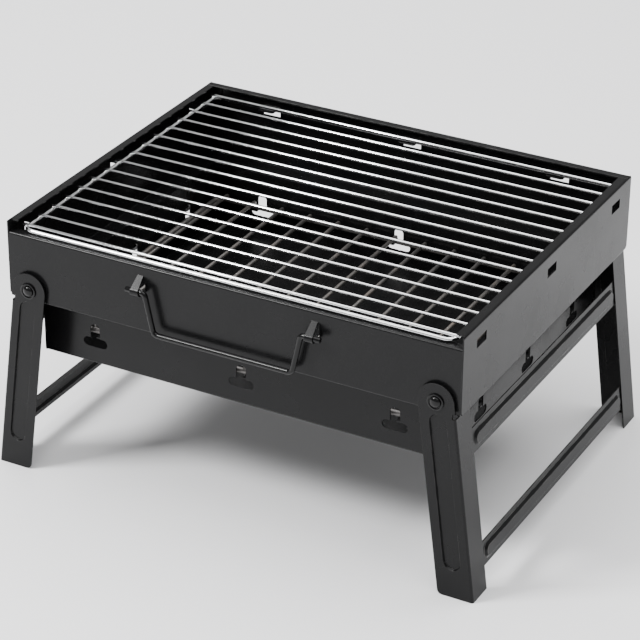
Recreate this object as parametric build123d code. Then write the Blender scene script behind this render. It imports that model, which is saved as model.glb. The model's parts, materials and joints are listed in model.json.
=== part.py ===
from build123d import *
import os
from math import cos, radians, sin, tan

# A folding sheet-metal charcoal grill. X runs along it, -Y is its front and Z is up from the ground.
# The origin is on the ground under the middle of the ring.

# Overall sizes of the upper ring
RING_LENGTH = 350.0
RING_WIDTH = 278.0
RING_BASE = 138.0  # ground to the ring's lower edge
FRONT_HEIGHT = 50.0
END_HEIGHT = 59.0  # the rear panel is as high as the end panels

# Sheet metal
SHEET = 1.0
BEND = 1.2  # radius of a bend along the middle of the sheet
LIP = 7.0  # folded-in top edge of the ring
CORNER_FLANGE = 10.0
CORNER_CUT = 3.0
FREE = 0.5  # gap between edges that meet but are not joined

# Charcoal box, hung in the ring by its front and rear rims
BOX_END_GAP = 14.5  # from the ring's end to the box's end wall
BOX_SIDE_GAP = 19.0  # from the ring's front or rear to the box's wall
BOX_DEPTH = 48.5  # below the ring's lower edge
FRONT_RIM = 9.0
REAR_RIM = 6.0
BOX_CLEARANCE = 2.0  # between a ledge of the ring and the wall beside it
BOX_END_CLEARANCE = 1.3
BOX_FLANGE = 8.0

# Air slots in the box walls, each an upside-down T
SLOT_INSET_X = 42.5  # from the box's end to the outer slot of a long wall
SLOT_INSET_Y = 43.4  # from the box's front or rear to the outer slot of an end wall
STEM_WIDTH = 7.5
STEM_TOP = 17.5  # below the ring's lower edge
CROSS_LENGTH = 19.5
CROSS_WIDTH = 7.0
CROSS_TOP = 28.5  # below the ring's lower edge
TAB_WIDTH = 8.0
TAB_REACH = 7.0

# Punched openings high in the ring, with tabs that carry the net
VENT_WIDTH = 14.5
VENT_HEIGHT = 7.0
VENT_INSET_X = 55.0  # from the ring's end to the outer vent of the rear panel
VENT_INSET_Y = 27.0  # from the ring's front or rear to the outer vent of an end panel
NET_TAB_REACH = 11.0
VENT_SPACING = 0.5  # tab narrower than its opening

# Charcoal grate
GRATE_WIRE = 4.0
GRATE_BAR = 3.0
GRATE_BARS = 13
GRATE_CLEARANCE = 3.0  # between the box's inner faces and the frame wire
GRATE_CORNER = 8.0

# Net
NET_WIRE = 3.0
NET_BAR = 2.2
NET_PITCH = 17.1
NET_END_CLEARANCE = 0.5  # between the net and the end panels' lips
NET_REAR_CLEARANCE = 0.5
NET_FRONT_INSET = 4.0  # from the ring's front to the net
NET_CORNER = 7.0
WELD = 0.15  # depth that a welded wire sinks into the one it crosses
BAR_OVERHANG = 1.0  # of a bar past the outer side of the frame wire

# Leg frames
SPLAY = 7.5
LEG_WIDTH = 26.4
PIVOT_INSET = 17.4  # from the ring's end
PIVOT_HEIGHT = 9.0  # above the ring's lower edge
LEG_STANDOFF = 1.9  # from a panel to the back of the leg
LEG_FLANGE = 21.5
LEG_FLANGE_TOP = 12.0  # below the pivot, along the leg
FOOT_CORNER = 4.0
BEAD_WIDTH = 14.0
BEAD_DEPTH = 1.5
BEAD_SLOPE = 28.0  # of its sides, from square to the sheet
BEND_RELIEF = 4.0  # notch above the flange's bend
BEAD_TOP = 8.5  # below the pivot, along the leg
BEAD_BOTTOM = 127.5
CROSSBAR_WIDTH = 18.5
CROSSBAR_TOPS = {"upper": 29.5, "lower": 115.0}  # below the pivot, along the leg
CROSSBAR_GAP = 1.0  # between a crossbar's end and the back of the leg
RIB_WIDTH = 12.0
RIB_DEPTH = 1.8
RIB_SLOPE = 50.0
RIB_INSET = 21.5  # from the ring's front or rear to the rib's end

# Rivets and washers
SHANK_RADIUS = 2.5
RUNNING = 0.05  # radial clearance round a shank
HEAD_RADIUS = 6.0
HEAD_RIM = 1.0
DOME_RADIUS = 4.0
DOME_HEIGHT = 1.8
HEAD_CLEARANCE = 0.05
TAIL_RADIUS = 4.0
TAIL_LENGTH = 1.5
WASHER_RADIUS = 7.0
WASHER_CLEARANCE = 0.1

# Handle
HANDLE_WIRE = 4.0
HANDLE_DROP = 30.0  # from the pivot to the grip
HANDLE_PIVOT_HEIGHT = 33.5  # above the ring's lower edge
HANDLE_STANDOFF = 6.5  # from the front panel to the middle of the wire
GRIP_HALF = 53.5
GRIP_BEND = 4.5
PIN_BEND = 3.0
PIN_PAST_LOOP = 4.5
LOOP_X = 67.0
LOOP_WIDTH = 7.0  # at its lower end
LOOP_TOP_WIDTH = 4.5
LOOP_THICKNESS = 1.1
LOOP_TOP = 43.0  # above the ring's lower edge
LOOP_ARM_GAP = 0.3

# Places that follow from the sizes above
END = RING_LENGTH / 2
SIDE = RING_WIDTH / 2
RING_TOP = RING_BASE + END_HEIGHT
NET_SEAT = RING_BASE + FRONT_HEIGHT
BOX_END = END - BOX_END_GAP
BOX_SIDE = SIDE - BOX_SIDE_GAP
BOX_TOP = RING_BASE + 2 * SHEET
BOX_BASE = RING_BASE - BOX_DEPTH
GRATE_SEAT = RING_BASE - CROSS_TOP + SHEET
GRATE_X = BOX_END - SHEET - GRATE_CLEARANCE - GRATE_WIRE / 2
GRATE_Y = BOX_SIDE - SHEET - GRATE_CLEARANCE - GRATE_WIRE / 2
NET_X = END - LIP - NET_END_CLEARANCE - BAR_OVERHANG - NET_WIRE / 2
NET_FRONT = -SIDE + NET_FRONT_INSET + NET_WIRE / 2
NET_REAR = SIDE - LIP - NET_REAR_CLEARANCE - NET_WIRE / 2
NET_BARS = int((NET_REAR - NET_FRONT) // NET_PITCH) + 1
SLOT_X = BOX_END - SLOT_INSET_X
SLOT_Y = BOX_SIDE - SLOT_INSET_Y
VENT_X = END - VENT_INSET_X
VENT_Y = SIDE - VENT_INSET_Y
PIVOT_X = END - PIVOT_INSET
PIVOT_Z = RING_BASE + PIVOT_HEIGHT
LEG_LENGTH = PIVOT_Z / cos(radians(SPLAY))
LEG_BACK = -SIDE - LEG_STANDOFF  # back of the front leg's web
LEG_FRONT = LEG_BACK - SHEET
HANDLE_Y = -SIDE - HANDLE_STANDOFF
HANDLE_Z = RING_BASE + HANDLE_PIVOT_HEIGHT


def slab(x, y, z):
    """A box between the low and high value given for each axis."""
    size = [high - low for low, high in (x, y, z)]
    middle = [(high + low) / 2 for low, high in (x, y, z)]
    return Pos(*middle) * Box(*size)


def bent_sheet(points, plane, half_length):
    """A sheet bent along the given line in a plane, as long as twice half_length."""
    line = FilletPolyline(*points, radius=BEND)
    return extrude(plane * trace(line, SHEET), half_length, both=True)


def turned(shape):
    """The shape turned half round about Z."""
    return Rot(0, 0, 180) * shape


def peg(radius, start, end):
    """A cylinder along Y between two Y values."""
    return Pos(0, (start + end) / 2, 0) * Rot(90, 0, 0) * Cylinder(radius, end - start)


def pins(radius, start, end):
    """A peg at each of the two front pivots."""
    return [Pos(x, 0, PIVOT_Z) * peg(radius, start, end) for x in (-PIVOT_X, PIVOT_X)]


# Upper ring


def long_panel(height, rear):
    """The front or rear panel: a sheet with a folded-in lip above and a ledge below that holds the box."""
    side = 1 if rear else -1
    outer = side * (SIDE - SHEET / 2)
    ledge = side * (BOX_SIDE + BOX_CLEARANCE)
    lip = side * (SIDE - LIP)
    low = RING_BASE + SHEET / 2
    high = RING_BASE + height - SHEET / 2
    points = [(ledge, low), (outer, low), (outer, high), (lip, high)]
    panel = bent_sheet(points, Plane.YZ, END - SHEET)
    return panel - pins(SHANK_RADIUS + RUNNING, side * SIDE - 2 * SHEET, side * SIDE + 2 * SHEET)


def handle_loop():
    """A tapered loop pressed out of the front panel round the handle's wire, and the opening it leaves."""
    radius = HANDLE_WIRE / 2 + RUNNING
    top = RING_BASE + LOOP_TOP
    bottom = HANDLE_Z - radius - LOOP_THICKNESS
    hulls = []
    for thickness in (LOOP_THICKNESS, 0):
        root = Line((-SIDE, top - LOOP_THICKNESS + thickness), (-SIDE, HANDLE_Z - radius - thickness))
        circle = Pos(HANDLE_Y, HANDLE_Z) * CenterArc((0, 0), radius + thickness, 0, 360)
        hull = make_hull(root.edges() + circle.edges())
        hulls.append(extrude(Plane.YZ * hull, LOOP_WIDTH / 2, both=True))
    half_top = LOOP_TOP_WIDTH / 2
    half = LOOP_WIDTH / 2
    outline = Polyline((-half, bottom), (half, bottom), (half_top, top), (-half_top, top), close=True)
    taper = extrude(Plane.XZ * make_face(outline.edges()), 2 * SIDE)
    heights = (bottom + LOOP_THICKNESS, top - LOOP_THICKNESS)
    opening = slab((-half, half), (-SIDE, -SIDE + 2 * SHEET), heights)
    return (hulls[0] - hulls[1]) & taper, opening


def front_panel():
    """The lower, front side of the ring, with the two handle loops and the openings behind them."""
    panel = long_panel(FRONT_HEIGHT, rear=False)
    loop, opening = handle_loop()
    for x in (-LOOP_X, LOOP_X):
        panel += Pos(x, 0, 0) * loop
        panel -= Pos(x, 0, 0) * opening
    return panel


def net_tab(reach):
    """A vent's opening and the tab bent in above it, on a panel whose inner face is at Y = 0."""
    opening = slab(
        (-VENT_WIDTH / 2, VENT_WIDTH / 2),
        (-2 * SHEET, SHEET / 2),
        (NET_SEAT - SHEET - VENT_HEIGHT, NET_SEAT - SHEET),
    )
    half = VENT_WIDTH / 2 - VENT_SPACING
    tab = slab((-half, half), (-SHEET / 2, reach), (NET_SEAT - SHEET, NET_SEAT))
    tip = tab.edges().filter_by(Axis.Z).group_by(Axis.Y)[-1]
    return opening, fillet(tip, 2 * SHEET)


def with_vents(panel, places):
    """The panel with a vent and a net tab at each place."""
    opening, tab = net_tab(NET_TAB_REACH)
    for place in places:
        panel -= place * opening
        panel += place * tab
    return panel


def rear_panel():
    """The higher, rear side of the ring."""
    inner = Pos(0, SIDE - SHEET, 0) * Rot(0, 0, 180)
    places = [Pos(x, 0, 0) * inner for x in (-VENT_X, 0, VENT_X)]
    return with_vents(long_panel(END_HEIGHT, rear=True), places)


def right_end_panel():
    """An end of the ring, with flanges inside the front and rear panels where they are spot-welded."""
    outer = END - SHEET / 2
    low = RING_BASE + SHEET / 2
    high = RING_TOP - SHEET / 2
    points = [(BOX_END + BOX_END_CLEARANCE, low), (outer, low), (outer, high), (END - LIP, high)]
    panel = bent_sheet(points, Plane.XZ, SIDE)
    inside = (0, END - SHEET)
    ledge_end = BOX_SIDE + BOX_CLEARANCE - FREE
    for side in (-1, 1):
        past = tuple(sorted((side * ledge_end, side * (SIDE + SHEET))))
        panel -= slab(inside, past, (RING_BASE - SHEET, RING_BASE + 4 * SHEET))
    panel -= slab(inside, (SIDE - LIP - FREE, SIDE + SHEET), (RING_TOP - 4 * SHEET, RING_TOP + SHEET))
    panel -= slab(inside, (-SIDE - SHEET, -SIDE + CORNER_CUT), (RING_TOP - 4 * SHEET, RING_TOP + SHEET))
    for side, height in ((-1, FRONT_HEIGHT), (1, END_HEIGHT)):
        depth = tuple(sorted((side * (SIDE - SHEET), side * (SIDE - 2 * SHEET))))
        heights = (RING_BASE + CORNER_CUT, RING_BASE + height - CORNER_CUT)
        panel += slab((END - SHEET - CORNER_FLANGE, END - SHEET / 2), depth, heights)
    for y in (-SIDE, SIDE):
        cut = CORNER_CUT * 2**0.5
        panel -= Pos(END, y, RING_BASE) * Rot(45, 0, 0) * Box(4 * SHEET, cut, cut)
    inner = Pos(END - SHEET, 0, 0) * Rot(0, 0, 90)
    places = [Pos(0, y, 0) * inner for y in (-VENT_Y, 0, VENT_Y)]
    return with_vents(panel, places)


def leg_rivets():
    """Four dome-headed rivets, each through a leg, a washer and a panel."""
    under_head = LEG_FRONT - HEAD_CLEARANCE
    rim = under_head - HEAD_RIM
    tail = -SIDE + SHEET
    ball_radius = (DOME_RADIUS**2 + DOME_HEIGHT**2) / (2 * DOME_HEIGHT)
    rivet = peg(SHANK_RADIUS, under_head, tail) + peg(HEAD_RADIUS, rim, under_head)
    rivet += peg(TAIL_RADIUS, tail, tail + TAIL_LENGTH)
    ball = Pos(0, rim - DOME_HEIGHT + ball_radius, 0) * Sphere(ball_radius)
    rivet += ball & peg(DOME_RADIUS, rim - DOME_HEIGHT, rim)
    front = [Pos(x, 0, PIVOT_Z) * rivet for x in (-PIVOT_X, PIVOT_X)]
    return Compound(front + [turned(shape) for shape in front])


def leg_washers():
    """Four washers that hold the legs off the panels."""
    disks = pins(WASHER_RADIUS, LEG_BACK + WASHER_CLEARANCE, -SIDE)
    holes = pins(SHANK_RADIUS + RUNNING, LEG_BACK, -SIDE + SHEET)
    front = [disk - hole for disk, hole in zip(disks, holes)]
    return Compound(front + [turned(shape) for shape in front])


# Leg frames, drawn upright with the pivot at X = 0, Z = 0 and turned out to their splay


def pressed_rib(length, width, depth, slope):
    """The raised pad and the hollow of a rib with sloping sides, in a sheet below Z = 0."""
    pad = extrude(SlotOverall(length, width), depth, taper=slope)
    narrow = SHEET * tan(radians(90 - slope) / 2)
    hollow = extrude(SlotOverall(length - 2 * narrow, width - 2 * narrow), depth, taper=slope)
    return pad, Pos(0, 0, -SHEET) * hollow


def leg_web():
    """The flat of the front leg: a round head, a pivot hole and a foot cut level with the ground."""
    half = LEG_WIDTH / 2
    rise = half * tan(radians(SPLAY))
    corners = [(-half, 0), (-half, rise - LEG_LENGTH), (half, -rise - LEG_LENGTH), (half, 0)]
    blade = make_face(Polyline(*corners, close=True).edges())
    blade = fillet(blade.vertices().sort_by(Axis.Y)[:2], FOOT_CORNER)
    web = extrude(Plane.XZ * (blade + Circle(half) - Circle(SHANK_RADIUS + RUNNING)), -SHEET)
    return Pos(0, LEG_FRONT, 0) * web


def front_right_leg():
    """The front right leg: the web, its bead and the flange along its outer side."""
    half = LEG_WIDTH / 2
    below = (-2 * LEG_LENGTH, -LEG_FLANGE_TOP)
    leg = leg_web()
    for heights in (below, (-LEG_FLANGE_TOP, BEND_RELIEF - LEG_FLANGE_TOP)):
        leg -= slab((half - 2 * BEND, half + SHEET), (LEG_FRONT - SHEET, LEG_BACK + SHEET), heights)
    middle = LEG_FRONT + SHEET / 2
    edge = half - SHEET / 2
    corners = [(half - 3 * BEND, middle), (edge, middle), (edge, LEG_FRONT + LEG_FLANGE)]
    line = FilletPolyline(*corners, radius=BEND)
    angle = extrude(trace(line, SHEET), -LEG_LENGTH - LEG_WIDTH)
    leg += angle & slab((0, LEG_WIDTH), (LEG_FRONT, SIDE), below)
    length = BEAD_BOTTOM - BEAD_TOP
    pad, hollow = pressed_rib(length, BEAD_WIDTH, BEAD_DEPTH, BEAD_SLOPE)
    place = Pos(0, LEG_BACK, -BEAD_TOP - length / 2) * Rot(-90, 0, 0) * Rot(0, 0, 90)
    leg = leg + place * pad - place * hollow
    ground = slab((0, END + LEG_LENGTH), (-SIDE - LEG_WIDTH, SIDE), (-LEG_LENGTH, 0))
    return splayed(leg) - ground


def splayed(shape):
    """A piece of the right leg frame, moved from upright at the origin to its splayed place on the ring."""
    return Pos(PIVOT_X, 0, PIVOT_Z) * Rot(0, -SPLAY, 0) * shape


def right_crossbar(top):
    """A strip between the front and rear legs, with a rib pressed outwards along it."""
    outer = LEG_WIDTH / 2 - SHEET
    reach = -LEG_BACK - CROSSBAR_GAP
    bar = slab((outer - SHEET, outer), (-reach, reach), (-top - CROSSBAR_WIDTH, -top))
    bar = fillet(bar.edges().filter_by(Axis.X), 2 * SHEET)
    pad, hollow = pressed_rib(2 * (SIDE - RIB_INSET), RIB_WIDTH, RIB_DEPTH, RIB_SLOPE)
    place = Pos(outer, 0, -top - CROSSBAR_WIDTH / 2) * Rot(0, 90, 0) * Rot(0, 0, 90)
    return splayed(bar + place * pad - place * hollow)


# Charcoal box


def t_slot():
    """An air slot as a cutter through a wall whose inner face is at Y = 0, and its tab for the grate."""
    cross_middle = RING_BASE - CROSS_TOP - CROSS_WIDTH / 2
    stem_top = RING_BASE - STEM_TOP
    stem_base = cross_middle - STEM_WIDTH / 2
    stem = Pos(0, (stem_top + stem_base) / 2) * SlotOverall(stem_top - stem_base, STEM_WIDTH, 90)
    cross = Pos(0, cross_middle) * SlotOverall(CROSS_LENGTH, CROSS_WIDTH)
    cutter = extrude(Plane.XZ * (stem + cross), 2 * SHEET, both=True)
    tab_end = CROSS_LENGTH / 2 - SHEET
    tab = slab((tab_end - TAB_WIDTH, tab_end), (-SHEET / 2, TAB_REACH), (GRATE_SEAT - SHEET, GRATE_SEAT))
    return cutter, tab


def with_slots(wall, places):
    """The wall with a T-slot and a grate tab at each place."""
    cutter, tab = t_slot()
    for place in places:
        wall -= place * cutter
        wall += place * tab
    return wall


def box_long_wall(rim, rear):
    """The front or rear wall of the box, with a rim to hang by and a flange under the floor."""
    side = 1 if rear else -1
    wall = side * (BOX_SIDE - SHEET / 2)
    high = BOX_TOP - SHEET / 2
    low = BOX_BASE + SHEET / 2
    flange_end = side * (BOX_SIDE - BOX_FLANGE)
    points = [(side * (BOX_SIDE + rim), high), (wall, high), (wall, low), (flange_end, low)]
    sheet = bent_sheet(points, Plane.YZ, BOX_END - SHEET)
    inner = Pos(0, side * (BOX_SIDE - SHEET), 0) * Rot(0, 0, 90 + side * 90)
    return with_slots(sheet, [Pos(x, 0, 0) * inner for x in (-SLOT_X, 0, SLOT_X)])


def box_right_wall():
    """An end wall of the box, with flanges inside the front and rear walls where they are spot-welded."""
    middle = BOX_END - SHEET / 2
    low = BOX_BASE + SHEET / 2
    sheet = bent_sheet([(middle, BOX_TOP), (middle, low), (BOX_END - BOX_FLANGE, low)], Plane.XZ, BOX_SIDE)
    inside = (0, BOX_END - SHEET)
    flange_end = BOX_SIDE - BOX_FLANGE - FREE
    for side in (-1, 1):
        past = tuple(sorted((side * flange_end, side * (BOX_SIDE + SHEET))))
        sheet -= slab(inside, past, (BOX_BASE - SHEET, BOX_BASE + 4 * SHEET))
        depth = tuple(sorted((side * (BOX_SIDE - SHEET), side * (BOX_SIDE - 2 * SHEET))))
        heights = (BOX_BASE + CORNER_CUT, BOX_TOP - CORNER_CUT)
        sheet += slab((BOX_END - SHEET - CORNER_FLANGE, BOX_END - SHEET / 2), depth, heights)
    inner = Pos(BOX_END - SHEET, 0, 0) * Rot(0, 0, 90)
    return with_slots(sheet, [Pos(0, y, 0) * inner for y in (-SLOT_Y, 0, SLOT_Y)])


def box_floor():
    """The floor plate, on the flanges of the four walls."""
    gap = SHEET + BEND
    x = BOX_END - gap
    y = BOX_SIDE - gap
    plate = slab((-x, x), (-y, y), (BOX_BASE + SHEET, BOX_BASE + 2 * SHEET))
    return fillet(plate.edges().filter_by(Axis.Z), CORNER_CUT)


# Wire pieces


def wire_loop(half_x, y, z, wire, corner):
    """A closed rectangular loop of round wire with bent corners, between two Y values."""
    outline = Pos(0, (y[0] + y[1]) / 2, z) * RectangleRounded(2 * half_x, y[1] - y[0], corner)
    path = outline.wire()
    section = Plane(path @ 0, z_dir=path % 0) * Circle(wire / 2)
    return sweep(section, path)


def rod(start, end, wire):
    """A straight round wire."""
    length = (Vector(*end) - Vector(*start)).length
    bar = Pos(0, 0, length / 2) * Cylinder(wire / 2, length)
    return Plane(start, z_dir=Vector(*end) - Vector(*start)) * bar


def grate_frame():
    """The loop that rests on the tabs of the T-slots."""
    return wire_loop(GRATE_X, (-GRATE_Y, GRATE_Y), GRATE_SEAT + GRATE_WIRE / 2, GRATE_WIRE, GRATE_CORNER)


def grate_bars():
    """Bars from front to rear, welded on top of the loop."""
    z = GRATE_SEAT + GRATE_WIRE + GRATE_BAR / 2 - WELD
    pitch = 2 * (GRATE_X - GRATE_CORNER) / (GRATE_BARS - 1)
    starts = [-GRATE_X + GRATE_CORNER + n * pitch for n in range(GRATE_BARS)]
    reach = GRATE_Y + GRATE_WIRE / 4
    return Compound([rod((x, -reach, z), (x, reach, z), GRATE_BAR) for x in starts])


def net_frame():
    """The loop round the net, on the front lip and on the tabs of the other three panels."""
    return wire_loop(NET_X, (NET_FRONT, NET_REAR), NET_SEAT + NET_WIRE / 2, NET_WIRE, NET_CORNER)


def net_bars():
    """Bars from end to end, welded on top of the loop."""
    z = NET_SEAT + NET_WIRE + NET_BAR / 2 - WELD
    reach = NET_X + NET_WIRE / 2 + BAR_OVERHANG
    first = (NET_FRONT + NET_REAR - NET_PITCH * (NET_BARS - 1)) / 2
    rows = [first + n * NET_PITCH for n in range(NET_BARS)]
    return Compound([rod((-reach, y, z), (reach, y, z), NET_BAR) for y in rows])


# Handle


def handle():
    """A bail of round wire whose turned-out ends lie in the loops of the front panel."""
    grip_z = HANDLE_Z - HANDLE_DROP
    arm = LOOP_X - LOOP_WIDTH / 2 - PIN_BEND - LOOP_ARM_GAP
    tip = LOOP_X + LOOP_WIDTH / 2 + PIN_PAST_LOOP
    right = [(GRIP_HALF, grip_z), (arm, HANDLE_Z), (tip, HANDLE_Z)]
    left = [(-x, z) for x, z in reversed(right)]
    points = [(x, HANDLE_Y, z) for x, z in left + right]
    path = FilletPolyline(*points, radius=[PIN_BEND, GRIP_BEND, GRIP_BEND, PIN_BEND])
    bail = sweep(Plane(path @ 0, z_dir=path % 0) * Circle(HANDLE_WIRE / 2), path)
    return bail


front_leg = front_right_leg()
rear_leg = mirror(front_leg, Plane.XZ)
NODES = {
    "front_panel": front_panel(),
    "rear_panel": rear_panel(),
    "right_end_panel": right_end_panel(),
    "left_end_panel": mirror(right_end_panel(), Plane.YZ),
    "leg_rivets": leg_rivets(),
    "leg_washers": leg_washers(),
    "right_front_leg": front_leg,
    "right_rear_leg": rear_leg,
    "left_front_leg": mirror(front_leg, Plane.YZ),
    "left_rear_leg": mirror(rear_leg, Plane.YZ),
    "box_front_wall": box_long_wall(FRONT_RIM, rear=False),
    "box_rear_wall": box_long_wall(REAR_RIM, rear=True),
    "box_right_wall": box_right_wall(),
    "box_left_wall": turned(box_right_wall()),
    "box_floor": box_floor(),
    "grate_frame": grate_frame(),
    "grate_bars": grate_bars(),
    "net_frame": net_frame(),
    "net_bars": net_bars(),
    "handle": handle(),
}
for name, top in CROSSBAR_TOPS.items():
    NODES[f"right_{name}_crossbar"] = right_crossbar(top)
    NODES[f"left_{name}_crossbar"] = mirror(right_crossbar(top), Plane.YZ)

os.makedirs("parts", exist_ok=True)
for node, shape in NODES.items():
    export_step(shape, f"parts/{node}.step")
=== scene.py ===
import json
from math import cos, pi, radians, sin, tan

import bmesh
import bpy
from mathutils import Matrix, Vector


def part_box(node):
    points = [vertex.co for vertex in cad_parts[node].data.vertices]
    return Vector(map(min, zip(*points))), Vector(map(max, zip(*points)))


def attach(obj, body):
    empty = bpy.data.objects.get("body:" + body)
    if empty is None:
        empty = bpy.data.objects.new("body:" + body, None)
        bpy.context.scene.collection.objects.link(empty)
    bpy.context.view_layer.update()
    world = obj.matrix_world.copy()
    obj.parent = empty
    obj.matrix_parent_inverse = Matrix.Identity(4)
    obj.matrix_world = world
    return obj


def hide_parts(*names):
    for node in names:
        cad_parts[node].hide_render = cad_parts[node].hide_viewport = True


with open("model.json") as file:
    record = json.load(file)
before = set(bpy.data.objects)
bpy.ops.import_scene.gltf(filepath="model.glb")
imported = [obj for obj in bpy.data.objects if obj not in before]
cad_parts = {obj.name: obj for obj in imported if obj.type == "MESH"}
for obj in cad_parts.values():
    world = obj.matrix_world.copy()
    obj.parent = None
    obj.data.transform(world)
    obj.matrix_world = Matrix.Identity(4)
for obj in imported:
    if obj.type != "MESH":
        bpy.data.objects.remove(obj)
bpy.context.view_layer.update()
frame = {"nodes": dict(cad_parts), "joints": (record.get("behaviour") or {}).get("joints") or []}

joints = {joint["name"]: joint for joint in frame["joints"]}

# ---------------------------------------------------------------------------------------------
# The ring: four panels of thin steel sheet, punched, bent and spot-welded at the corners, then
# dipped in a satin black coating that bears heat. It thins out along the cut edges, and these
# edges are painted lighter grey, partly as a painted highlight.
# ---------------------------------------------------------------------------------------------

RING_PANELS = ["front_panel", "rear_panel", "left_end_panel", "right_end_panel"]
CUT_EDGE_ROUND = 0.00022
CUT_EDGE_ANGLE = radians(38)
CUT_EDGE_STEPS = 2
SMOOTH_ANGLE = radians(32)
FLAT_ANGLE = radians(0.4)
WELD_DISTANCE = 2e-6
MERGE_DISTANCE = 1e-7


def new_group(name, inputs, outputs):
    """A shader node group with float inputs {name: value} and the given float outputs."""
    group = bpy.data.node_groups.new(name, "ShaderNodeTree")
    for socket, value in inputs.items():
        made = group.interface.new_socket(socket, in_out="INPUT", socket_type="NodeSocketFloat")
        made.default_value = value
    for socket in outputs:
        group.interface.new_socket(socket, in_out="OUTPUT", socket_type="NodeSocketFloat")
    start = group.nodes.new("NodeGroupInput")
    end = group.nodes.new("NodeGroupOutput")
    return group, start, end


def add_math(tree, operation, a, b):
    """A Math node, with each operand a socket or a number."""
    node = tree.nodes.new("ShaderNodeMath")
    node.operation = operation
    for socket, value in zip(node.inputs, (a, b)):
        if isinstance(value, (int, float)):
            socket.default_value = value
        else:
            tree.links.new(value, socket)
    return node.outputs[0]


def add_noise(tree, scale, detail, roughness=0.5, stretch=(1, 1, 1)):
    """Noise on object coordinates. Scale is a number or a socket, in features per metre."""
    place = tree.nodes.new("ShaderNodeTexCoord")
    mapping = tree.nodes.new("ShaderNodeMapping")
    mapping.inputs["Scale"].default_value = stretch
    noise = tree.nodes.new("ShaderNodeTexNoise")
    noise.inputs["Detail"].default_value = detail
    noise.inputs["Roughness"].default_value = roughness
    tree.links.new(place.outputs["Object"], mapping.inputs["Vector"])
    tree.links.new(mapping.outputs["Vector"], noise.inputs["Vector"])
    if isinstance(scale, (int, float)):
        noise.inputs["Scale"].default_value = scale
    else:
        tree.links.new(scale, noise.inputs["Scale"])
    return noise.outputs["Fac"]


def add_range(tree, value, low, high, to_low=0.0, to_high=1.0):
    """A clamped linear change from one range of values to another."""
    node = tree.nodes.new("ShaderNodeMapRange")
    numbers = {"From Min": low, "From Max": high, "To Min": to_low, "To Max": to_high}
    for socket, number in numbers.items():
        node.inputs[socket].default_value = number
    tree.links.new(value, node.inputs["Value"])
    return node.outputs["Result"]


def make_rubbed_edges_and_painted_highlight():
    """Grey on the rounded cut edges in uneven patches: thin coating there, and partly a painted
    highlight.
    """
    group, start, end = new_group("rubbed_edges_and_painted_highlight", {"Amount": 1.0, "Patch Scale": 120.0}, ["Wear"])
    edge = group.nodes.new("ShaderNodeAttribute")
    edge.attribute_name = "cut_edge"
    patches = add_noise(group, start.outputs["Patch Scale"], 4.0)
    spread = add_range(group, patches, 0.38, 0.68)
    # Grey on the marked cut edges: thin coating there, and partly a painted highlight.
    rubbed_and_highlight_mask = add_math(group, "MULTIPLY", edge.outputs["Fac"], spread)
    group.links.new(add_math(group, "MULTIPLY", rubbed_and_highlight_mask, start.outputs["Amount"]), end.inputs["Wear"])
    return group


def make_coat_grain():
    """The fine orange peel of a dipped or sprayed coat, and the cloudy unevenness of its gloss."""
    scales = {"Peel Scale": 1400.0, "Cloud Scale": 22.0}
    group, start, end = new_group("coat_grain", scales, ["Peel", "Cloud", "Speck"])
    group.links.new(add_noise(group, start.outputs["Peel Scale"], 2.0), end.inputs["Peel"])
    group.links.new(add_noise(group, start.outputs["Cloud Scale"], 3.0, 0.6), end.inputs["Cloud"])
    fine = add_noise(group, 2600.0, 1.0)
    group.links.new(add_range(group, fine, 0.66, 0.74), end.inputs["Speck"])
    return group


RUBBED_EDGES_AND_PAINTED_HIGHLIGHT = make_rubbed_edges_and_painted_highlight()
COAT_GRAIN = make_coat_grain()


def new_material(name, group_trees):
    """An empty material with a Principled shader and one node for each group."""
    material = bpy.data.materials.new(name)
    material.use_nodes = True
    tree = material.node_tree
    shader = tree.nodes["Principled BSDF"]
    groups = []
    for group in group_trees:
        node = tree.nodes.new("ShaderNodeGroup")
        node.node_tree = group
        groups.append(node)
    return material, tree, shader, groups


def add_mix(tree, factor, a, b):
    """A colour mix, with each colour a socket or three numbers."""
    node = tree.nodes.new("ShaderNodeMix")
    node.data_type = "RGBA"
    tree.links.new(factor, node.inputs["Factor"])
    for socket, value in zip((node.inputs[6], node.inputs[7]), (a, b)):
        if isinstance(value, tuple):
            socket.default_value = (*value, 1)
        else:
            tree.links.new(value, socket)
    return node.outputs[2]


def add_bump(tree, shader, height, distance, strength=1.0):
    """A bump under the shader's surface, with its depth in metres."""
    node = tree.nodes.new("ShaderNodeBump")
    node.inputs["Strength"].default_value = strength
    node.inputs["Distance"].default_value = distance
    tree.links.new(height, node.inputs["Height"])
    tree.links.new(node.outputs["Normal"], shader.inputs["Normal"])


COATING_DEEP = (0.003, 0.003, 0.0032)
COATING_PALE = (0.0065, 0.0065, 0.0068)
COATING_SPECK = (0.02, 0.02, 0.021)
# The grey of the cut edges: coating rubbed thin, and partly a painted highlight.
COATING_RUBBED_AND_HIGHLIGHT = (0.17, 0.165, 0.16)
COATING_ROUGHNESS = (0.21, 0.3)
COATING_PEEL_DEPTH = 0.000014


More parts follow.
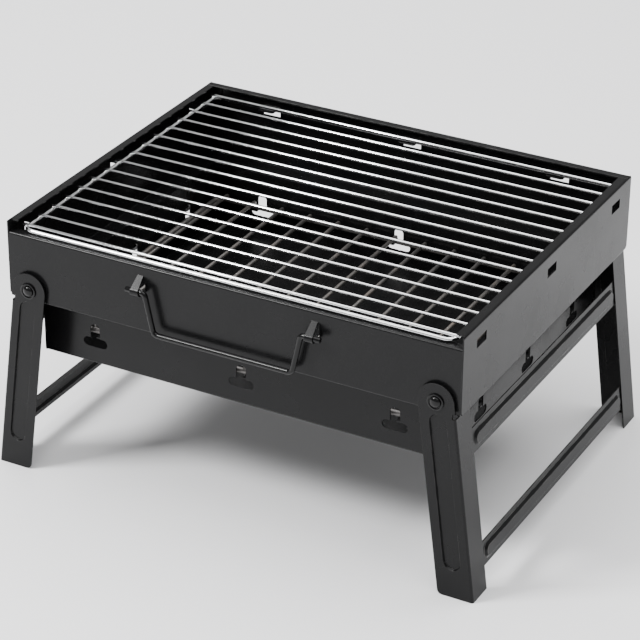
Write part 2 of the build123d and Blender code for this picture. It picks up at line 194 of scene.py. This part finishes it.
def make_black_coating():
    """Satin black coating: cloudy gloss, orange peel, faint specks, grey edges part rubbed, part
    painted highlight.
    """
    groups = [RUBBED_EDGES_AND_PAINTED_HIGHLIGHT, COAT_GRAIN]
    material, tree, shader, (edge_rub_and_highlight, grain) = new_material("satin_black_coating", groups)
    edge_rub_and_highlight.inputs["Amount"].default_value = 0.6
    edge_rub_and_highlight.inputs["Patch Scale"].default_value = 90.0
    deep = add_mix(tree, grain.outputs["Cloud"], COATING_DEEP, COATING_PALE)
    specked = add_mix(tree, grain.outputs["Speck"], deep, COATING_SPECK)
    # The cut edges turn grey: rubbed coating and a painted highlight.
    colour = add_mix(tree, edge_rub_and_highlight.outputs["Wear"], specked, COATING_RUBBED_AND_HIGHLIGHT)
    tree.links.new(colour, shader.inputs["Base Color"])
    gloss = add_range(tree, grain.outputs["Cloud"], 0.3, 0.7, *COATING_ROUGHNESS)
    tree.links.new(gloss, shader.inputs["Roughness"])
    metal = add_range(tree, edge_rub_and_highlight.outputs["Wear"], 0.35, 0.9, 0.0, 0.6)
    tree.links.new(metal, shader.inputs["Metallic"])
    shader.inputs["Specular IOR Level"].default_value = 0.16
    add_bump(tree, shader, grain.outputs["Peel"], COATING_PEEL_DEPTH)
    return material


BLACK_COATING = make_black_coating()


def shade_by_angle(mesh):
    """Smooth shading that stays crisp where faces meet at more than the smoothing angle."""
    for face in mesh.polygons:
        face.use_smooth = True
    mesh.set_sharp_from_angle(angle=SMOOTH_ANGLE)


def new_piece(name, bm, material, body, replaced):
    """Turns a bmesh into a piece that rides on a body and stands for CAD nodes."""
    mesh = bpy.data.meshes.new(name)
    bm.to_mesh(mesh)
    bm.free()
    mesh.materials.append(material)
    shade_by_angle(mesh)
    piece = bpy.data.objects.new(name, mesh)
    bpy.context.scene.collection.objects.link(piece)
    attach(piece, body)
    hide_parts(*replaced)
    return piece


def soften_cut_edges(bm, width):
    """Rounds every sharp edge and marks the rounded faces for rubbed grey and a painted highlight.
    """
    mark = bm.faces.layers.float.new("cut_edge")
    joined = [edge for edge in bm.edges if edge.is_manifold]
    sharp = [edge for edge in joined if edge.calc_face_angle(0) > CUT_EDGE_ANGLE]
    made = bmesh.ops.bevel(
        bm, geom=sharp, offset=width, offset_type="OFFSET", segments=CUT_EDGE_STEPS, profile=0.5,
        affect="EDGES", clamp_overlap=True, material=-1,
    )
    for face in made["faces"]:
        face[mark] = 1.0


def sheet_piece(node, body, material):
    """A sheet-metal piece: its punched and bent blank with softened edges and even flats."""
    bm = bmesh.new()
    bm.from_mesh(frame["nodes"][node].data)
    bmesh.ops.remove_doubles(bm, verts=bm.verts, dist=WELD_DISTANCE)
    bmesh.ops.dissolve_limit(
        bm, angle_limit=FLAT_ANGLE, verts=bm.verts, edges=bm.edges, delimit={"NORMAL"}
    )
    soften_cut_edges(bm, CUT_EDGE_ROUND)
    piece = new_piece(f"{node}_sheet", bm, material, body, [node])
    flats = piece.modifiers.new("even_flats", "WEIGHTED_NORMAL")
    flats.keep_sharp = True
    return piece


for node in RING_PANELS:
    sheet_piece(node, "ring", BLACK_COATING)

# ---------------------------------------------------------------------------------------------
# The leg frames: on each side two pressed legs with a stiffening bead and a folded flange, and
# two grooved crossbars spot-welded between their flanges. Coated like the ring.
# ---------------------------------------------------------------------------------------------

for side in ("left", "right"):
    for part in ("front_leg", "rear_leg", "upper_crossbar", "lower_crossbar"):
        sheet_piece(f"{side}_{part}", f"{side}_leg_frame", BLACK_COATING)

# ---------------------------------------------------------------------------------------------
# The charcoal box: four slotted walls and a floor plate of the same coated sheet.
# ---------------------------------------------------------------------------------------------

for part in ("front_wall", "rear_wall", "left_wall", "right_wall", "floor"):
    sheet_piece(f"box_{part}", "charcoal_box", BLACK_COATING)

# ---------------------------------------------------------------------------------------------
# The rivets the legs turn on: large mushroom heads of black-coated steel outside, with a raised
# rim round a glossy dome, and clinched tails inside. Steel washers hold the legs off the panels.
# ---------------------------------------------------------------------------------------------

RIVET_HEAD_RADIUS = 0.006
RIVET_HEAD_DEPTH = 0.0028
RIVET_TAIL_RADIUS = 0.004
RIVET_TAIL_DEPTH = 0.0015
RIVET_SHANK_RADIUS = 0.0025
RIVET_STEPS = 40
SHANK_SIDES = 24
SHEET_THICKNESS = 0.001


ENAMEL_DEEP = (0.002, 0.002, 0.002)
ENAMEL_PALE = (0.004, 0.004, 0.0042)
# The grey of marked edges: rubbed enamel, and partly a painted highlight.
ENAMEL_RUBBED_AND_HIGHLIGHT = (0.12, 0.118, 0.115)
ENAMEL_ROUGHNESS = (0.1, 0.18)
ENAMEL_PEEL_DEPTH = 0.000012


def make_gloss_black():
    """Glossy black enamel over steel, with faint cloudiness and orange peel."""
    groups = [RUBBED_EDGES_AND_PAINTED_HIGHLIGHT, COAT_GRAIN]
    material, tree, shader, (edge_rub_and_highlight, grain) = new_material("gloss_black_enamel", groups)
    edge_rub_and_highlight.inputs["Amount"].default_value = 0.4
    deep = add_mix(tree, grain.outputs["Cloud"], ENAMEL_DEEP, ENAMEL_PALE)
    # Marked edges turn grey: rubbed enamel, and partly a painted highlight.
    colour = add_mix(tree, edge_rub_and_highlight.outputs["Wear"], deep, ENAMEL_RUBBED_AND_HIGHLIGHT)
    tree.links.new(colour, shader.inputs["Base Color"])
    gloss = add_range(tree, grain.outputs["Cloud"], 0.3, 0.7, *ENAMEL_ROUGHNESS)
    tree.links.new(gloss, shader.inputs["Roughness"])
    shader.inputs["Specular IOR Level"].default_value = 0.22
    add_bump(tree, shader, grain.outputs["Peel"], ENAMEL_PEEL_DEPTH)
    return material


GLOSS_BLACK = make_gloss_black()


def spin_profile(bm, points, steps):
    """A solid of revolution about Z from (radius, height) points that start and end on the axis."""
    verts = [bm.verts.new((radius, 0, height)) for radius, height in points]
    edges = [bm.edges.new(pair) for pair in zip(verts, verts[1:])]
    bmesh.ops.spin(
        bm, geom=verts + edges, cent=(0, 0, 0), axis=(0, 0, 1), angle=2 * pi, steps=steps,
        use_merge=True,
    )
    bmesh.ops.remove_doubles(bm, verts=bm.verts, dist=MERGE_DISTANCE)
    bmesh.ops.recalc_face_normals(bm, faces=bm.faces)


def rivet_head_profile():
    """A flat underside, a rounded rim, a shallow ditch and a dome, as (radius, height) points."""
    rim = [
        (
            RIVET_HEAD_RADIUS * (0.88 + 0.12 * cos(angle)),
            RIVET_HEAD_DEPTH * (0.26 + 0.18 * sin(angle)),
        )
        for angle in (radians(step) for step in range(0, 181, 30))
    ]
    dome = [
        (RIVET_HEAD_RADIUS * 0.66 * cos(angle), RIVET_HEAD_DEPTH * (0.2 + 0.8 * sin(angle)))
        for angle in (radians(step) for step in range(0, 91, 15))
    ]
    return [(0, 0), (RIVET_HEAD_RADIUS * 0.98, 0)] + rim + dome[:-1] + [(0, RIVET_HEAD_DEPTH)]


def rivet_tail_profile():
    """The rounded button that the clinched end makes inside the panel."""
    crown = [
        (RIVET_TAIL_RADIUS * (0.6 + 0.4 * cos(angle)), RIVET_TAIL_DEPTH * sin(angle))
        for angle in (radians(step) for step in range(0, 91, 15))
    ]
    return [(0, 0)] + crown + [(0, RIVET_TAIL_DEPTH * 0.92)]


def make_rivets():
    """The four rivets, two at the front and two at the rear, each on its leg's pivot."""
    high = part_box("leg_rivets")[1]
    pivots = [Vector(joints[f"{side}_leg_fold"]["pos_m"]) for side in ("left", "right")]
    under_head = high.y - RIVET_HEAD_DEPTH
    tail_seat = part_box("rear_panel")[1].y - SHEET_THICKNESS
    bm = bmesh.new()
    for pivot in pivots:
        for side in (-1, 1):
            for profile, seat, facing in (
                (rivet_head_profile(), under_head, side),
                (rivet_tail_profile(), tail_seat, -side),
            ):
                turned = bmesh.new()
                spin_profile(turned, profile, RIVET_STEPS)
                place = Matrix.Translation((pivot.x, side * seat, pivot.z))
                turned.transform(place @ Matrix.Rotation(-facing * pi / 2, 4, "X"))
                mesh = bpy.data.meshes.new("rivet_part")
                turned.to_mesh(mesh)
                turned.free()
                bm.from_mesh(mesh)
                bpy.data.meshes.remove(mesh)
            middle = Matrix.Translation((pivot.x, side * (under_head + tail_seat) / 2, pivot.z))
            bmesh.ops.create_cone(
                bm, cap_ends=True, segments=SHANK_SIDES, radius1=RIVET_SHANK_RADIUS,
                radius2=RIVET_SHANK_RADIUS, depth=under_head - tail_seat,
                matrix=middle @ Matrix.Rotation(pi / 2, 4, "X"),
            )
    new_piece("domed_rivets", bm, GLOSS_BLACK, "ring", ["leg_rivets"])


make_rivets()


ZINC_DARK = (0.32, 0.32, 0.33)
ZINC_PALE = (0.5, 0.5, 0.5)
ZINC_ROUGHNESS = (0.38, 0.55)
ZINC_PEEL_DEPTH = 0.00002


def make_zinc():
    """Dull zinc plate, cloudy and finely spangled."""
    material, tree, shader, (grain,) = new_material("zinc_plate", [COAT_GRAIN])
    colour = add_mix(tree, grain.outputs["Cloud"], ZINC_DARK, ZINC_PALE)
    tree.links.new(colour, shader.inputs["Base Color"])
    rough = add_range(tree, grain.outputs["Speck"], 0, 1, *ZINC_ROUGHNESS)
    tree.links.new(rough, shader.inputs["Roughness"])
    shader.inputs["Metallic"].default_value = 1.0
    add_bump(tree, shader, grain.outputs["Peel"], ZINC_PEEL_DEPTH)
    return material


washers = frame["nodes"]["leg_washers"].data
washers.materials.clear()
washers.materials.append(make_zinc())

# ---------------------------------------------------------------------------------------------
# The handle: a bail of 4 mm wire, bent cold and coated glossy black. Its turned-out ends lie in
# the two loops pressed out of the front panel.
# ---------------------------------------------------------------------------------------------

WIRE_SIDES = 20
WIRE_END_ROUND = 0.3
BEND_STEPS = 9
HANDLE_WIRE_RADIUS = 0.002
GRIP_HALF = 0.0535
GRIP_BEND = 0.0045
PIN_BEND = 0.003
HANDLE_ARM_TOP = 0.0602


def start_wire(bm, place, direction, radius):
    """A ring of edges across the start of a wire, square to its direction."""
    turn = Vector(direction).to_track_quat("Z", "Y").to_matrix().to_4x4()
    ring = bmesh.ops.create_circle(
        bm, cap_ends=False, segments=WIRE_SIDES, radius=radius,
        matrix=Matrix.Translation(place) @ turn,
    )["verts"]
    return list({edge for vert in ring for edge in vert.link_edges})


def run_wire(bm, ring, reach):
    """Draws the wire's open end straight on by a vector, and returns the new open end."""
    made = bmesh.ops.extrude_edge_only(bm, edges=ring)["geom"]
    verts = [part for part in made if isinstance(part, bmesh.types.BMVert)]
    bmesh.ops.translate(bm, vec=reach, verts=verts)
    return [part for part in made if isinstance(part, bmesh.types.BMEdge)]


def bend_wire(bm, ring, centre, axis, angle):
    """Bends the wire on round a centre, and returns the new open end."""
    made = bmesh.ops.spin(bm, geom=ring, cent=centre, axis=axis, angle=angle, steps=BEND_STEPS)
    return [part for part in made["geom_last"] if isinstance(part, bmesh.types.BMEdge)]


def lay_wire(bm, corners, bends, radius, closed=False):
    """A round wire through corner points, with each corner bent to its own radius."""
    points = [Vector(corner) for corner in corners]
    count = len(points)
    inner = range(count) if closed else range(1, count - 1)
    trims = {}
    for index in inner:
        before = (points[index] - points[index - 1]).normalized()
        after = (points[(index + 1) % count] - points[index]).normalized()
        turn = before.angle(after)
        trims[index] = (bends[index] * tan(turn / 2), before, after, turn)
    first = points[0] + trims[0][2] * trims[0][0] if closed else points[0]
    heading = (points[1] - points[0]).normalized()
    ring = start_wire(bm, first, heading, radius)
    at = first
    order = list(range(1, count)) + ([0] if closed else [])
    for index in order:
        trim = trims[index][0] if index in trims else 0
        heading = (points[index] - at).normalized()
        stop = points[index] - heading * trim
        ring = run_wire(bm, ring, stop - at)
        at = stop
        if index in trims:
            _, before, after, turn = trims[index]
            axis = before.cross(after).normalized()
            centre = stop + axis.cross(before) * bends[index]
            ring = bend_wire(bm, ring, centre, axis, turn)
            at = points[index] + after * trim
    if not closed:
        open_ends = [edge for edge in bm.edges if edge.is_boundary]
        caps = bmesh.ops.holes_fill(bm, edges=open_ends, sides=0)["faces"]
        rims = list({edge for face in caps for edge in face.edges})
        bmesh.ops.bevel(
            bm, geom=rims, offset=radius * WIRE_END_ROUND, segments=2, profile=0.5, affect="EDGES",
            clamp_overlap=True, material=-1,
        )
    bmesh.ops.remove_doubles(bm, verts=bm.verts, dist=MERGE_DISTANCE)
    bmesh.ops.recalc_face_normals(bm, faces=bm.faces)


def make_handle():
    """The bail, hanging from its pivot."""
    low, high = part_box("handle")
    pivot = Vector(joints["handle_swing"]["pos_m"])
    grip = low.z + HANDLE_WIRE_RADIUS
    arm_top = (HANDLE_ARM_TOP, pivot.y, pivot.z)
    right = [(GRIP_HALF, pivot.y, grip), arm_top, (high.x, pivot.y, pivot.z)]
    left = [(-x, y, z) for x, y, z in reversed(right)]
    bends = [0, PIN_BEND, GRIP_BEND, GRIP_BEND, PIN_BEND, 0]
    bm = bmesh.new()
    lay_wire(bm, left + right, bends, HANDLE_WIRE_RADIUS)
    new_piece("bail_handle", bm, GLOSS_BLACK, "handle", ["handle"])


make_handle()

# ---------------------------------------------------------------------------------------------
# The net: a bent loop of 3 mm wire with sixteen 2.2 mm bars spot-welded across it, all bright
# chrome plated. Each weld squeezes up a small nugget between the two wires.
# ---------------------------------------------------------------------------------------------

NET_WIRE_RADIUS = 0.0015
NET_BAR_RADIUS = 0.0011
NET_CORNER_BEND = 0.007
NET_BAR_COUNT = 16
NET_BAR_SIDES = 16
ROD_END_ROUND = 0.35
ROD_RIM_ANGLE = 1.2
NUGGET_RADIUS = 0.0013
NUGGET_SPREAD = 1.15
NUGGET_HEIGHT = 0.5


DRAWING_STRETCH = (1, 60, 60)
CHROME_BRIGHT = (0.86, 0.87, 0.88)
CHROME_DULL = (0.72, 0.72, 0.72)
CHROME_ROUGHNESS = (0.09, 0.24)
CHROME_LINE_DEPTH = 0.00001


def make_drawn_grain():
    """Fine lines along a drawn wire, and the dulled patches that handling leaves."""
    scales = {"Line Scale": 30.0, "Patch Scale": 60.0}
    group, start, end = new_group("drawn_grain", scales, ["Lines", "Patch"])
    lines = add_noise(group, start.outputs["Line Scale"], 2.0, 0.5, DRAWING_STRETCH)
    group.links.new(lines, end.inputs["Lines"])
    patch = add_noise(group, start.outputs["Patch Scale"], 3.0, 0.6)
    group.links.new(add_range(group, patch, 0.4, 0.72), end.inputs["Patch"])
    return group


DRAWN_GRAIN = make_drawn_grain()


def make_chrome():
    """Bright chrome plate on drawn wire."""
    material, tree, shader, (grain,) = new_material("chrome_plate", [DRAWN_GRAIN])
    colour = add_mix(tree, grain.outputs["Patch"], CHROME_BRIGHT, CHROME_DULL)
    tree.links.new(colour, shader.inputs["Base Color"])
    rough = add_range(tree, grain.outputs["Patch"], 0, 1, *CHROME_ROUGHNESS)
    tree.links.new(rough, shader.inputs["Roughness"])
    shader.inputs["Metallic"].default_value = 1.0
    add_bump(tree, shader, grain.outputs["Lines"], CHROME_LINE_DEPTH)
    return material


CHROME = make_chrome()


def loop_corners(low, high, radius):
    """The four corners of a loop's middle line, from the box that the loop fills."""
    z = (low.z + high.z) / 2
    x = high.x - radius
    front, rear = low.y + radius, high.y - radius
    return [(-x, front, z), (x, front, z), (x, rear, z), (-x, rear, z)]


def make_loop(name, node, radius, bend, material, body):
    """A closed wire loop with bent corners, in the place of a CAD loop."""
    bm = bmesh.new()
    lay_wire(bm, loop_corners(*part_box(node), radius), [bend] * 4, radius, closed=True)
    new_piece(name, bm, material, body, [node])


def add_rod(bm, start, end, radius, sides):
    """A straight bar with slightly rounded ends."""
    start, end = Vector(start), Vector(end)
    reach = end - start
    turn = reach.to_track_quat("Z", "Y").to_matrix().to_4x4()
    verts = bmesh.ops.create_cone(
        bm, cap_ends=True, segments=sides, radius1=radius, radius2=radius, depth=reach.length,
        matrix=Matrix.Translation((start + end) / 2) @ turn,
    )["verts"]
    edges = {edge for vert in verts for edge in vert.link_edges}
    rims = [edge for edge in edges if edge.calc_face_angle(0) > ROD_RIM_ANGLE]
    bmesh.ops.bevel(
        bm, geom=rims, offset=radius * ROD_END_ROUND, segments=2, profile=0.5, affect="EDGES",
        clamp_overlap=True, material=-1,
    )


def add_nugget(bm, place, radius):
    """The small bead of metal that a spot weld squeezes out where two wires cross."""
    verts = bmesh.ops.create_icosphere(bm, subdivisions=2, radius=radius)["verts"]
    bmesh.ops.scale(bm, vec=(NUGGET_SPREAD, NUGGET_SPREAD, NUGGET_HEIGHT), verts=verts)
    bmesh.ops.translate(bm, vec=place, verts=verts)


def make_net_bars():
    """The bars from end to end, with a weld nugget where each crosses the loop."""
    low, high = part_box("net_bars")
    frame_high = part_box("net_frame")[1]
    z = (low.z + high.z) / 2
    first, last = low.y + NET_BAR_RADIUS, high.y - NET_BAR_RADIUS
    weld_x = frame_high.x - NET_WIRE_RADIUS
    bm = bmesh.new()
    for row in range(NET_BAR_COUNT):
        y = first + (last - first) * row / (NET_BAR_COUNT - 1)
        add_rod(bm, (low.x, y, z), (high.x, y, z), NET_BAR_RADIUS, NET_BAR_SIDES)
        for x in (-weld_x, weld_x):
            add_nugget(bm, (x, y, frame_high.z), NUGGET_RADIUS)
    new_piece("net_cross_bars", bm, CHROME, "net", ["net_bars"])


make_loop("net_rim_wire", "net_frame", NET_WIRE_RADIUS, NET_CORNER_BEND, CHROME, "net")
make_net_bars()

# ---------------------------------------------------------------------------------------------
# The charcoal grate: a loop of 4 mm wire with thirteen 3 mm bars welded on top, bare steel that
# has darkened and tinted in the fire.
# ---------------------------------------------------------------------------------------------

GRATE_WIRE_RADIUS = 0.002
GRATE_BAR_RADIUS = 0.0015
GRATE_CORNER_BEND = 0.008
GRATE_BAR_COUNT = 13
GRATE_BAR_SIDES = 14
GRATE_NUGGET_RADIUS = 0.00169
FIRED_GREY = (0.17, 0.165, 0.16)
FIRED_STRAW = (0.20, 0.155, 0.11)
FIRED_BLUE = (0.13, 0.14, 0.165)
FIRED_ROUGHNESS = (0.42, 0.62)
FIRED_SCALE_DEPTH = 0.00004


def make_fired_steel():
    """Bare wire after a few fires: grey scale with straw and blue tints."""
    groups = [DRAWN_GRAIN, COAT_GRAIN]
    material, tree, shader, (grain, coat) = new_material("fired_steel", groups)
    coat.inputs["Cloud Scale"].default_value = 14.0
    tint = add_mix(tree, coat.outputs["Cloud"], FIRED_STRAW, FIRED_BLUE)
    colour = add_mix(tree, grain.outputs["Patch"], FIRED_GREY, tint)
    tree.links.new(colour, shader.inputs["Base Color"])
    rough = add_range(tree, grain.outputs["Patch"], 0, 1, *FIRED_ROUGHNESS)
    tree.links.new(rough, shader.inputs["Roughness"])
    shader.inputs["Metallic"].default_value = 0.85
    add_bump(tree, shader, coat.outputs["Peel"], FIRED_SCALE_DEPTH)
    return material


FIRED_STEEL = make_fired_steel()


def make_grate_bars():
    """The bars from front to rear, with a weld nugget where each crosses the loop."""
    low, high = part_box("grate_bars")
    frame_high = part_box("grate_frame")[1]
    z = (low.z + high.z) / 2
    first, last = low.x + GRATE_BAR_RADIUS, high.x - GRATE_BAR_RADIUS
    weld_y = frame_high.y - GRATE_WIRE_RADIUS
    bm = bmesh.new()
    for column in range(GRATE_BAR_COUNT):
        x = first + (last - first) * column / (GRATE_BAR_COUNT - 1)
        add_rod(bm, (x, low.y, z), (x, high.y, z), GRATE_BAR_RADIUS, GRATE_BAR_SIDES)
        for y in (-weld_y, weld_y):
            add_nugget(bm, (x, y, frame_high.z), GRATE_NUGGET_RADIUS)
    new_piece("grate_cross_bars", bm, FIRED_STEEL, "charcoal_grate", ["grate_bars"])


make_loop(
    "grate_rim_wire", "grate_frame", GRATE_WIRE_RADIUS, GRATE_CORNER_BEND, FIRED_STEEL,
    "charcoal_grate",
)
make_grate_bars()

# ---------------------------------------------------------------------------------------------
# The stage: a wide pale floor in a dim white room, with a ceiling of soft light and a smaller
# lamp at the front left, and a long lens that looks down from the front right.
# ---------------------------------------------------------------------------------------------

FLOOR_REACH = 12
FLOOR_COLOUR = (0.86, 0.86, 0.87, 1)
ROOM_LIGHT = 0.5


def make_stage_material():
    """Plain pale paper."""
    material, tree, shader, _ = new_material("pale_floor", [])
    shader.inputs["Base Color"].default_value = FLOOR_COLOUR
    shader.inputs["Roughness"].default_value = 0.6
    return material


def make_floor():
    """A wide floor under the feet."""
    bm = bmesh.new()
    bmesh.ops.create_grid(bm, x_segments=1, y_segments=1, size=FLOOR_REACH)
    mesh = bpy.data.meshes.new("floor")
    bm.to_mesh(mesh)
    bm.free()
    mesh.materials.append(make_stage_material())
    floor = bpy.data.objects.new("floor", mesh)
    bpy.context.scene.collection.objects.link(floor)


def add_panel_light(name, place, target, width, height, power):
    """A rectangular soft light that faces a point."""
    data = bpy.data.lights.new(name, "AREA")
    data.shape = "RECTANGLE"
    data.size = width
    data.size_y = height
    data.energy = power
    light = bpy.data.objects.new(name, data)
    bpy.context.scene.collection.objects.link(light)
    light.location = place
    light.rotation_euler = (Vector(target) - Vector(place)).to_track_quat("-Z", "Y").to_euler()


make_floor()
middle = (0, 0, 0.12)
add_panel_light("key_light", (-1.3, -1.3, 1.9), middle, 0.7, 0.7, 85)
add_panel_light("ceiling_light", (0, 0.6, 4.0), (0, 0.6, 0), 6, 6, 400)

world = bpy.data.worlds.new("soft_room")
bpy.context.scene.world = world
world.use_nodes = True
room = world.node_tree.nodes["Background"]
room.inputs["Color"].default_value = (1, 1, 1, 1)
room.inputs["Strength"].default_value = ROOM_LIGHT

CAMERA_PLACE = Vector((0.7792, -1.4683, 0.9959))
CAMERA_HEADING = radians(28.05)
CAMERA_TILT = radians(-28.36)
CAMERA_ROLL = radians(0.53)
camera_data = bpy.data.cameras.new("camera")
camera_data.sensor_width = 36
camera_data.lens = 147.2
camera = bpy.data.objects.new("camera", camera_data)
bpy.context.scene.collection.objects.link(camera)
turn = Matrix.Rotation(CAMERA_HEADING, 3, "Z") @ Matrix.Rotation(pi / 2 + CAMERA_TILT, 3, "X")
camera.rotation_euler = (turn @ Matrix.Rotation(CAMERA_ROLL, 3, "Z")).to_euler()
camera.location = CAMERA_PLACE
bpy.context.scene.camera = camera
